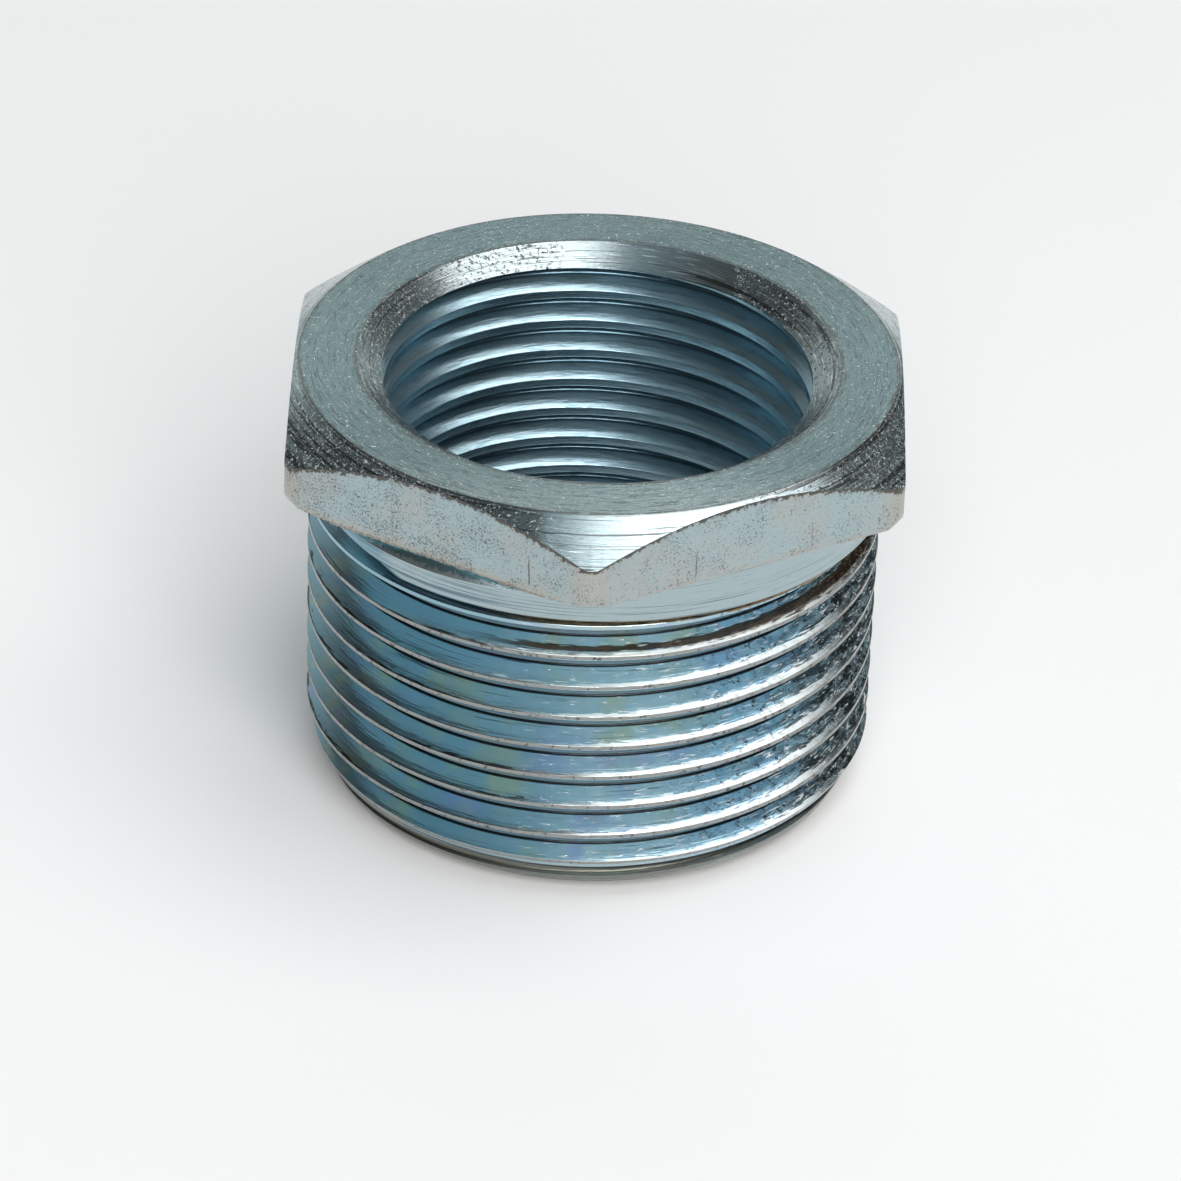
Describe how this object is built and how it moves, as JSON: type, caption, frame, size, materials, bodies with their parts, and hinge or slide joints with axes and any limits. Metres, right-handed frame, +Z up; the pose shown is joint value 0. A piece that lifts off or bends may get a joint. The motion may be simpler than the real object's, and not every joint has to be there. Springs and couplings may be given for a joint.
{
  "type": "hexagon reducing bush",
  "caption": "Hexagon-headed reducing bush: a male thread outside and a smaller female thread through its bore join two sizes of threaded pipework.",
  "frame": {"origin": "middle of the lower end face, on the thread axis", "axes": "+Z up the bore towards the hexagon head; a hexagon corner points to -Y and two flats face +X and -X"},
  "size_m": [0.026, 0.0298, 0.0198],
  "materials": {
    "bright_zinc_plate": "bright blue zinc plate on turned steel"
  },
  "bodies": {
    "root": {"reducing_bush": "bright_zinc_plate"}
  },
  "joints": []
}
